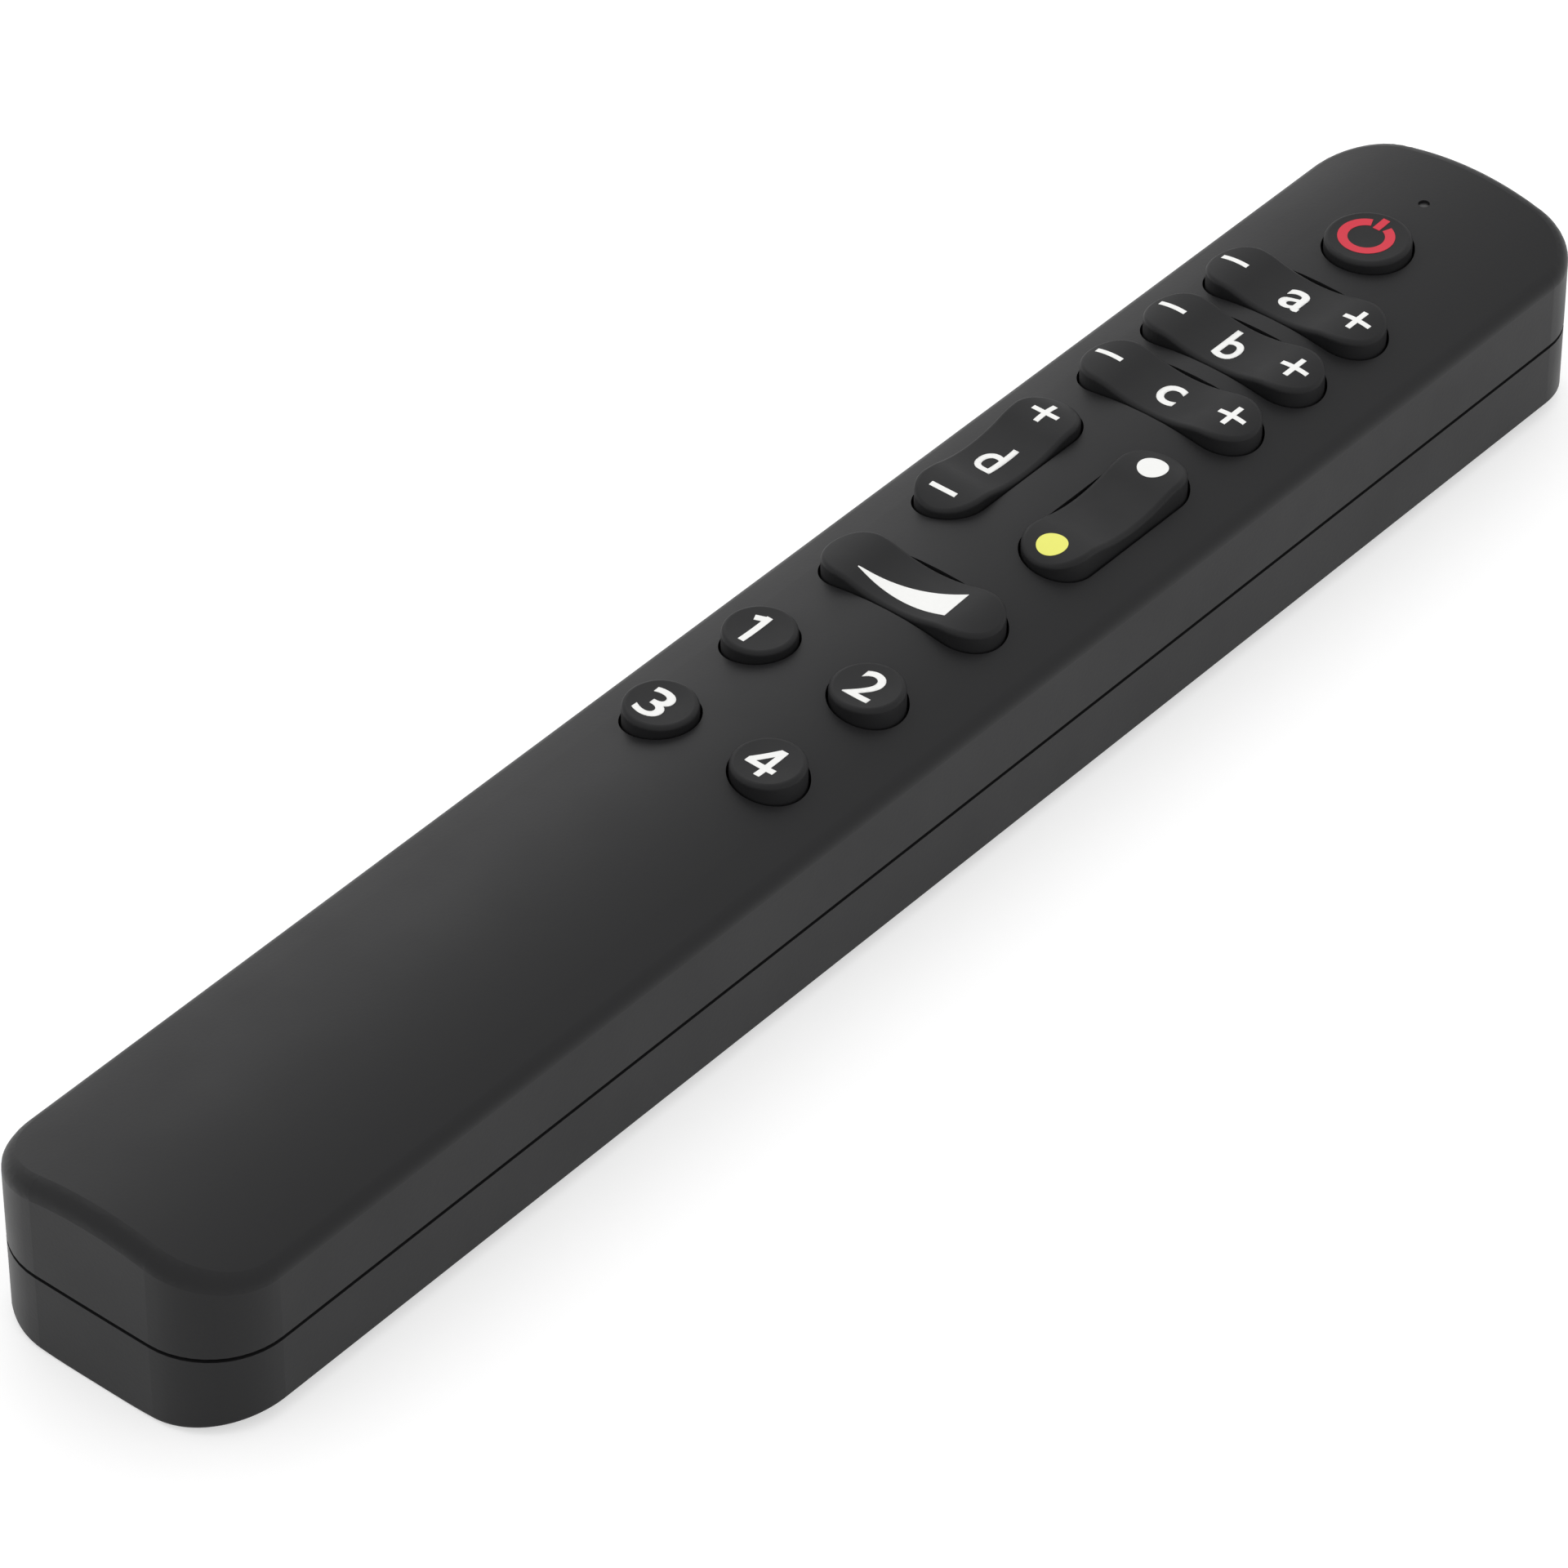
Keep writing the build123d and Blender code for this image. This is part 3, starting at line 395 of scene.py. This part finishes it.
def chip_epoxy():
    """Transfer-moulded epoxy with glass filler: dark grey, dull and finely pitted."""
    return grained("transfer_moulded_epoxy", linear("#232325"), roughness=0.6,
                   pit=0.12 * MM, depth=0.006 * MM, patch=1 * MM, spread=0.1).material


def fired_ceramic():
    """Fired barium titanate chips: tan, smooth and slightly mottled."""
    return grained("fired_titanate_ceramic", linear("#a9865c"), roughness=0.35,
                   pit=0.1 * MM, depth=0.003 * MM, patch=0.3 * MM, spread=0.12).material


def shrunk_sleeve():
    """Polyester sleeve shrunk on an aluminium can: glossy dark blue, with bare metal ends."""
    surface = grained("shrunk_polyester_sleeve", linear("#1c2f52"), roughness=0.28,
                      pit=0.5 * MM, depth=0.004 * MM, patch=2 * MM)
    tree = surface.tree
    facing = add_node(tree, "ShaderNodeTexCoord").outputs["Normal"]
    sides = add_node(tree, "ShaderNodeSeparateXYZ", {0: facing}).outputs
    # The pale stripe along the sleeve marks its negative side
    stripe = add_node(tree, "ShaderNodeMath", {0: sides["X"], 1: SLEEVE_STRIPE},
                      operation="GREATER_THAN").outputs[0]
    lengthwise = add_node(tree, "ShaderNodeMath", {0: sides["Y"]},
                          operation="ABSOLUTE").outputs[0]
    end = add_node(tree, "ShaderNodeMath", {0: lengthwise, 1: SLEEVE_END},
                   operation="GREATER_THAN").outputs[0]
    pale = opaque(linear("#b7bcc6"))
    striped = add_node(tree, "ShaderNodeMix", {SHARE: stripe, FIRST: surface.tone, SECOND: pale},
                       data_type="RGBA").outputs[MIXED]
    shown = add_node(tree, "ShaderNodeMix", {SHARE: end, FIRST: striped, SECOND: pale},
                     data_type="RGBA").outputs[MIXED]
    tree.links.new(shown, surface.shader.inputs["Base Color"])
    tree.links.new(end, surface.shader.inputs["Metallic"])
    return surface.material


def smoked_pipe():
    """Polycarbonate with a dark tint, moulded and polished: nearly black, clear for the lamp."""
    return grained("smoked_polycarbonate", linear("#2a2a2b"), roughness=0.3,
                   pit=0.4 * MM, depth=0.002 * MM, patch=1 * MM, IOR=1.58,
                   Transmission_Weight=0.2).material


def lamp_epoxy():
    """Cast epoxy with diffusing powder: milky and glossy."""
    return grained("milky_cast_epoxy", linear("#efe9cf"), roughness=0.25,
                   pit=0.3 * MM, depth=0.002 * MM, patch=0.5 * MM, IOR=1.5).material


def cell_jacket(name, plus_y, inward):
    """Lithographed steel jacket: dark, a pale band at the positive end, bare plated ends.

    plus_y is where the positive end is, and inward is 1 or -1, the way from it along Y.
    """
    surface = grained(name, finish().jacket_colour, roughness=0.32,
                      pit=0.3 * MM, depth=0.003 * MM, patch=5 * MM, Metallic=0.6)
    tree = surface.tree
    along = add_node(tree, "ShaderNodeSeparateXYZ", {0: surface.place}).outputs["Y"]
    from_plus = add_node(tree, "ShaderNodeMath", {0: along, 1: plus_y},
                         operation="SUBTRACT").outputs[0]
    depth = add_node(tree, "ShaderNodeMath", {0: from_plus, 1: inward},
                     operation="MULTIPLY").outputs[0]
    near = add_node(tree, "ShaderNodeMath", {0: depth, 1: CELL_BAND},
                    operation="LESS_THAN").outputs[0]
    band = opaque(finish().band_colour)
    banded = add_node(tree, "ShaderNodeMix", {SHARE: near, FIRST: surface.tone, SECOND: band},
                      data_type="RGBA").outputs[MIXED]
    facing = add_node(tree, "ShaderNodeTexCoord").outputs["Normal"]
    lengthwise = add_node(tree, "ShaderNodeSeparateXYZ", {0: facing}).outputs["Y"]
    steep = add_node(tree, "ShaderNodeMath", {0: lengthwise}, operation="ABSOLUTE").outputs[0]
    end = add_node(tree, "ShaderNodeMath", {0: steep, 1: CELL_END},
                   operation="GREATER_THAN").outputs[0]
    bare = opaque(linear("#cfcfca"))
    shown = add_node(tree, "ShaderNodeMix", {SHARE: end, FIRST: banded, SECOND: bare},
                     data_type="RGBA").outputs[MIXED]
    tree.links.new(shown, surface.shader.inputs["Base Color"])
    return surface.material


def nickel_spring():
    """Hard-drawn steel with dull nickel plating: warm grey metal with fine drawing lines."""
    return grained("nickel_plated_spring_steel", linear("#d2cfc6"), roughness=0.28,
                   pit=0.12 * MM, depth=0.0006 * MM, patch=1 * MM, stretch=(1, 1, 0.1),
                   Metallic=1.0).material


def zinc_screw():
    """Cold-headed steel with zinc plating: cool grey and a little cloudy."""
    return grained("zinc_plated_steel", linear("#b4b8be"), roughness=0.36,
                   pit=0.25 * MM, depth=0.003 * MM, patch=0.8 * MM, spread=0.1,
                   Metallic=1.0).material


def dress(node, material):
    """Gives a CAD node its material, with no change to its mesh."""
    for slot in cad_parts[node].material_slots:
        slot.material = material


def dress_all(nodes, material):
    for node in nodes:
        dress(node, material)


class HANDSET_OT_finish_shells(Operator):
    """Gives the two shells, the battery cover and its latch their satin plastic"""
    bl_idname = "handset.finish_shells"
    bl_label = "Finish shells"

    def execute(self, context):
        dress_all(SHELLS, satin_abs())
        return {"FINISHED"}


class HANDSET_OT_finish_keys(Operator):
    """Gives the rocker and round keys their silicone"""
    bl_idname = "handset.finish_keys"
    bl_label = "Finish keys"

    def execute(self, context):
        dress_all(ROCKERS + ROUND_KEYS, key_silicone())
        return {"FINISHED"}


class HANDSET_OT_finish_mat(Operator):
    """Gives the keypad mat and its domes their clear silicone"""
    bl_idname = "handset.finish_mat"
    bl_label = "Finish mat"

    def execute(self, context):
        dress_all(("keypad_mat", *DOMES), clear_grey_silicone())
        return {"FINISHED"}


class HANDSET_OT_finish_board(Operator):
    """Gives the circuit board and what is soldered or printed on it their surfaces"""
    bl_idname = "handset.finish_board"
    bl_label = "Finish board"

    def execute(self, context):
        dress("circuit_board", solder_mask())
        dress("contact_pads", printed_carbon())
        dress("antenna_trace", flashed_copper())
        dress_all(("radio_module", "crystal"), tinned_can())
        dress("microcontroller", chip_epoxy())
        dress("chip_capacitors", fired_ceramic())
        dress("reservoir_capacitor", shrunk_sleeve())
        dress("indicator_lamp", lamp_epoxy())
        dress("light_pipe", smoked_pipe())
        return {"FINISHED"}


class HANDSET_OT_finish_cells(Operator):
    """Gives the battery cells, their contacts and the screws their metal"""
    bl_idname = "handset.finish_cells"
    bl_label = "Finish cells and screws"

    def execute(self, context):
        # The left cell's positive end is its high end in Y, the right cell's is its low end
        plus_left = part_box("battery_cell_left")[1][1]
        plus_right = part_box("battery_cell_right")[0][1]
        dress("battery_cell_left", cell_jacket("lithographed_jacket_left", plus_left, -1))
        dress("battery_cell_right", cell_jacket("lithographed_jacket_right", plus_right, 1))
        dress_all(CONTACTS, nickel_spring())
        dress_all(SCREWS, zinc_screw())
        return {"FINISHED"}


def middle(node):
    """Middle of a node's box, seen from above."""
    low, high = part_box(node)
    return Vector(((low[0] + high[0]) / 2, (low[1] + high[1]) / 2, 0))


def corners(shape):
    """Lowest and highest corner of a mesh's box."""
    places = [[vertex.co[axis] for vertex in shape.verts] for axis in range(3)]
    return Vector([min(values) for values in places]), Vector([max(values) for values in places])


def bisect(shape, place, way, **settings):
    """Cuts all of a mesh along the plane through a place, square to a way."""
    bmesh.ops.bisect_plane(shape, geom=[*shape.verts, *shape.edges, *shape.faces], plane_co=place,
                           plane_no=way, **settings)


def written(word, width, height):
    """A word of the built-in typeface as a flat shape of this size about its own middle."""
    text = bpy.data.curves.new(word, "FONT")
    text.body = word
    text.offset = marks().weight
    text.resolution_u = LETTER_STEPS
    holder = bpy.data.objects.new(word, text)
    bpy.context.collection.objects.link(holder)
    bpy.context.view_layer.update()
    data = bpy.data.meshes.new_from_object(holder)
    shape = bmesh.new()
    shape.from_mesh(data)
    bmesh.ops.remove_doubles(shape, verts=shape.verts, dist=MERGED)
    bpy.data.objects.remove(holder)
    bpy.data.curves.remove(text)
    bpy.data.meshes.remove(data)
    low, high = corners(shape)
    if word in TAILED:
        bisect(shape, low.lerp(high, TAILED[word]), (1, 0, 0), clear_outer=True)
        low, high = corners(shape)
    size = high - low
    bmesh.ops.translate(shape, verts=shape.verts, vec=-(low + high) / 2)
    bmesh.ops.scale(shape, verts=shape.verts, vec=(width / size.x, height / size.y, 1))
    return shape


def bar(start, end, width):
    """A flat stroke from start to end."""
    start, end = Vector(start), Vector(end)
    run = end - start
    shape = bmesh.new()
    bmesh.ops.create_grid(shape, x_segments=1, y_segments=1, size=0.5)
    bmesh.ops.scale(shape, verts=shape.verts, vec=(run.length, width, 1))
    turn = Matrix.Rotation(math.atan2(run.y, run.x), 3, "Z")
    bmesh.ops.rotate(shape, verts=shape.verts, matrix=turn)
    place = ((start.x + end.x) / 2, (start.y + end.y) / 2, 0)
    bmesh.ops.translate(shape, verts=shape.verts, vec=place)
    return shape


def round_spot(radius):
    shape = bmesh.new()
    bmesh.ops.create_circle(shape, cap_ends=True, segments=DOT_STEPS, radius=radius)
    return shape


def broken_ring(inner, outer, gap):
    """A flat ring, open at the top over an angle in radians."""
    shape = bmesh.new()
    ends = [shape.verts.new((0, radius, 0)) for radius in (inner, outer)]
    edge = shape.edges.new(ends)
    bmesh.ops.rotate(shape, verts=ends, matrix=Matrix.Rotation(gap / 2, 3, "Z"))
    bmesh.ops.spin(shape, geom=[*ends, edge], cent=(0, 0, 0), axis=(0, 0, 1),
                   angle=math.tau - gap, steps=RING_STEPS)
    return shape


def ramp():
    """The dimmer's wedge: thin at the left, hollow on top, bowed below and upright at the right."""
    shape = bmesh.new()
    bmesh.ops.create_grid(shape, x_segments=RAMP_STEPS, y_segments=1, size=1)
    for vertex in shape.verts:
        along = (vertex.co.x + 1) / 2
        edge = RAMP_TOP if vertex.co.y > 0 else RAMP_FOOT
        x = edge["start"] + edge["run"] * along
        y = edge["height"] + edge["slope"] * along + edge["bow"] * along ** 2
        vertex.co = Vector((x, y, 0)) * MM
    return shape


def cut_fine(shape):
    """Cuts a flat shape on a square grid."""
    low, high = corners(shape)
    for way in (Vector((1, 0, 0)), Vector((0, 1, 0))):
        for cut in range(1, math.ceil((high - low).dot(way) / PRINT_GRID)):
            bisect(shape, low + way * PRINT_GRID * cut, way)


def drop_onto(shape, surface, film):
    """Drops a flat shape onto a surface below it, and leaves it a film's thickness above."""
    for vertex in shape.verts:
        above = Vector((vertex.co.x, vertex.co.y, 1))
        hit = surface.ray_cast(above, Vector((0, 0, -1)))[0]
        vertex.co.z = hit.z + film


def close_below(shape, film):
    """Gives a film its sides and its underside, which lies inside the key."""
    under = bmesh.ops.extrude_face_region(shape, geom=shape.faces[:], use_keep_orig=True)["geom"]
    lowered = [item for item in under if isinstance(item, bmesh.types.BMVert)]
    bmesh.ops.translate(shape, verts=lowered, vec=(0, 0, -film - PRINT_ROOT))
    bmesh.ops.recalc_face_normals(shape, faces=shape.faces)


def lay_print(name, node, shapes, shift, ink):
    """Prints flat shapes on top of a key, as one piece that rides on it."""
    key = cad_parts[node].data
    surface = BVHTree.FromPolygons([vertex.co for vertex in key.vertices],
                                   [face.vertices for face in key.polygons])
    place = middle(node) + Vector((*shift, 0)) * MM
    data = bpy.data.meshes.new(name)
    for layer, shape in enumerate(shapes):
        film = marks().ink + LAYER_STEP * layer
        bmesh.ops.translate(shape, verts=shape.verts, vec=place)
        cut_fine(shape)
        drop_onto(shape, surface, film)
        close_below(shape, film)
        shape.from_mesh(data)
        shape.to_mesh(data)
        shape.free()
    piece = bpy.data.objects.new(name, data)
    bpy.context.collection.objects.link(piece)
    data.materials.append(ink)
    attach(piece, node)


class HANDSET_OT_print_letters(Operator):
    """Prints the channel letters and the numbers"""
    bl_idname = "handset.print_letters"
    bl_label = "Print letters and numbers"

    def execute(self, context):
        white = pad_ink("white_pad_print", finish().white_ink)
        for node, word, shift, (width, height) in LETTERS + NUMBERS:
            shape = written(word, width * MM, height * MM)
            lay_print(f"print_{word}", node, [shape], shift, white)
        stroke = marks().number_stroke
        for node, strokes, shift in STROKED:
            shapes = [bar(Vector(start) * MM, Vector(end) * MM, stroke) for start, end in strokes]
            lay_print(f"print_{node[-1]}", node, shapes, shift, white)
        return {"FINISHED"}


class HANDSET_OT_print_signs(Operator):
    """Prints the plus and minus signs, the ramp and the dots"""
    bl_idname = "handset.print_signs"
    bl_label = "Print signs"

    def execute(self, context):
        white = pad_ink("white_sign_print", finish().white_ink)
        warm = pad_ink("warm_yellow_pad_print", finish().yellow_ink)
        half = marks().sign / 2
        stroke = marks().stroke
        for node, shift in PLUSES:
            shapes = [bar((-half, 0), (half, 0), stroke), bar((0, -half), (0, half), stroke)]
            lay_print(f"plus_{node[-1]}", node, shapes, shift, white)
        for node, shift in MINUSES:
            lay_print(f"minus_{node[-1]}", node, [bar((-half, 0), (half, 0), stroke)], shift, white)
        for (name, shift), ink in zip(DOTS, (white, warm)):
            lay_print(name, "rocker_tint", [round_spot(marks().dot / 2)], shift, ink)
        lay_print("ramp", "rocker_dimmer", [ramp()], RAMP_SHIFT, white)
        return {"FINISHED"}


class HANDSET_OT_print_power(Operator):
    """Prints the red power sign"""
    bl_idname = "handset.print_power"
    bl_label = "Print power sign"

    def execute(self, context):
        red = pad_ink("red_pad_print", finish().red_ink)
        ring = broken_ring(marks().ring_inner, marks().ring_outer, RING_GAP)
        stem = bar((0, STEM_FOOT), (0, STEM_TOP), STEM_WIDTH)
        lay_print("power_sign", "key_power", [ring, stem], POWER_SHIFT, red)
        return {"FINISHED"}


def camera_axes():
    """Unit vectors to the picture's right and top, and from the aim point to the camera."""
    turn = math.radians(studio().azimuth)
    tilt = math.radians(studio().elevation)
    back = Vector((math.sin(turn) * math.cos(tilt), -math.cos(turn) * math.cos(tilt),
                   math.sin(tilt)))
    right = Vector((math.cos(turn), math.sin(turn), 0))
    return right, back.cross(right), back


def place_camera():
    """Camera at the photograph's angle, distance and focal length."""
    settings = studio()
    right, up, back = camera_axes()
    camera = bpy.data.objects.new("camera", bpy.data.cameras.new("camera"))
    bpy.context.collection.objects.link(camera)
    aim = right * settings.aim_right + up * settings.aim_up
    axes = Matrix((right, up, back)).transposed().to_4x4()
    camera.matrix_world = Matrix.Translation(aim + back * settings.distance) @ axes
    camera.data.sensor_width = SENSOR_WIDTH
    camera.data.lens = settings.focal_pixels / PHOTO_PIXELS * SENSOR_WIDTH
    camera.data.clip_start = NEAREST
    bpy.context.scene.camera = camera


def softbox(name, place, size, power):
    """Square area lamp that faces the middle of the handset."""
    lamp = bpy.data.lights.new(name, "AREA")
    lamp.shape = "SQUARE"
    lamp.size = size
    lamp.energy = power
    lamp_object = bpy.data.objects.new(name, lamp)
    bpy.context.collection.objects.link(lamp_object)
    place = Vector(place)
    turn = place.to_track_quat("Z", "Y").to_matrix().to_4x4()
    lamp_object.matrix_world = Matrix.Translation(place) @ turn


def backdrop_share(tree):
    """1 for what the camera sees, straight or in gloss and glass, and 0 for what lights."""
    path = add_node(tree, "ShaderNodeLightPath").outputs
    mirrored = add_node(tree, "ShaderNodeMath",
                        {0: path["Is Camera Ray"], 1: path["Is Glossy Ray"]}).outputs[0]
    return add_node(tree, "ShaderNodeMath", {0: mirrored, 1: path["Is Transmission Ray"]},
                    use_clamp=True).outputs[0]


def lit_surround():
    """World: plain white to the camera and in mirrors, an even grey as light."""
    world = bpy.data.worlds.new("studio")
    bpy.context.scene.world = world
    world.use_nodes = True
    tree = world.node_tree
    light = tree.nodes["Background"]
    light.inputs["Color"].default_value = (1, 1, 1, 1)
    light.inputs["Strength"].default_value = studio().surround
    white = add_node(tree, "ShaderNodeBackground", {"Color": (1, 1, 1, 1), "Strength": 1.0})
    mix = add_node(tree, "ShaderNodeMixShader",
                   {0: backdrop_share(tree), 1: light.outputs[0], 2: white.outputs[0]})
    tree.links.new(mix.outputs[0], tree.nodes["World Output"].inputs["Surface"])


def floor_paint():
    """Painted board, rolled and matt: pale and even, and clear from below to show the underside."""
    surface = grained("matt_rolled_paint", linear("#cfcfcf"), roughness=0.9,
                      pit=2 * MM, depth=0.02 * MM, patch=80 * MM, spread=0.003,
                      Specular_IOR_Level=0.1)
    tree = surface.tree
    glow = add_node(tree, "ShaderNodeMath", {0: backdrop_share(tree), 1: FLOOR_GLOW},
                    operation="MULTIPLY").outputs[0]
    white = add_node(tree, "ShaderNodeEmission",
                     {"Color": (1, 1, 1, 1), "Strength": glow}).outputs[0]
    lit = add_node(tree, "ShaderNodeAddShader",
                   {0: surface.shader.outputs[0], 1: white}).outputs[0]
    clear = add_node(tree, "ShaderNodeBsdfTransparent").outputs[0]
    under = add_node(tree, "ShaderNodeNewGeometry").outputs["Backfacing"]
    sided = add_node(tree, "ShaderNodeMixShader", {0: under, 1: lit, 2: clear}).outputs[0]
    tree.links.new(sided, tree.nodes["Material Output"].inputs["Surface"])
    return surface.material


class HANDSET_OT_set_stage(Operator):
    """Builds the pale floor, the soft lights and the camera"""
    bl_idname = "handset.set_stage"
    bl_label = "Set stage"

    def execute(self, context):
        mesh = bmesh.new()
        bmesh.ops.create_grid(mesh, x_segments=1, y_segments=1, size=FLOOR_HALF)
        # The floor and the flat underside must not share a plane
        bmesh.ops.translate(mesh, verts=mesh.verts, vec=(0, 0, -FLOOR_DROP))
        data = bpy.data.meshes.new("floor")
        mesh.to_mesh(data)
        mesh.free()
        floor = bpy.data.objects.new("floor", data)
        context.collection.objects.link(floor)
        data.materials.append(floor_paint())
        softbox("top_lamp", *TOP_LAMP, studio().top_lamp)
        softbox("side_lamp", *SIDE_LAMP, studio().side_lamp)
        lit_surround()
        place_camera()
        context.scene.view_settings.view_transform = "Standard"
        return {"FINISHED"}


OPERATORS = (
    HANDSET_OT_finish_shells,
    HANDSET_OT_finish_keys,
    HANDSET_OT_finish_mat,
    HANDSET_OT_finish_board,
    HANDSET_OT_finish_cells,
    HANDSET_OT_print_letters,
    HANDSET_OT_print_signs,
    HANDSET_OT_print_power,
    HANDSET_OT_set_stage,
)


class HANDSET_PT_panel(Panel):
    """Lists what this add-on makes"""
    bl_label = "Handset"
    bl_idname = "HANDSET_PT_panel"
    bl_space_type = "VIEW_3D"
    bl_region_type = "UI"
    bl_category = "Handset"

    def draw(self, context):
        for operator in OPERATORS:
            self.layout.operator(operator.bl_idname)
        for group in GROUPS:
            values = getattr(context.scene, group)
            for key in values.bl_rna.properties.keys():
                if key not in ("rna_type", "name"):
                    self.layout.prop(values, key)


def register():
    for kind in (*GROUPS.values(), *OPERATORS, HANDSET_PT_panel):
        register_class(kind)
    for name, kind in GROUPS.items():
        setattr(bpy.types.Scene, name, PointerProperty(type=kind))


def unregister():
    for name in GROUPS:
        delattr(bpy.types.Scene, name)
    for kind in (HANDSET_PT_panel, *reversed(OPERATORS), *GROUPS.values()):
        unregister_class(kind)


def main():
    register()
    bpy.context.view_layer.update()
    for operator in OPERATORS:
        group, name = operator.bl_idname.split(".")
        getattr(getattr(bpy.ops, group), name)()


if __name__ == "__main__":
    main()
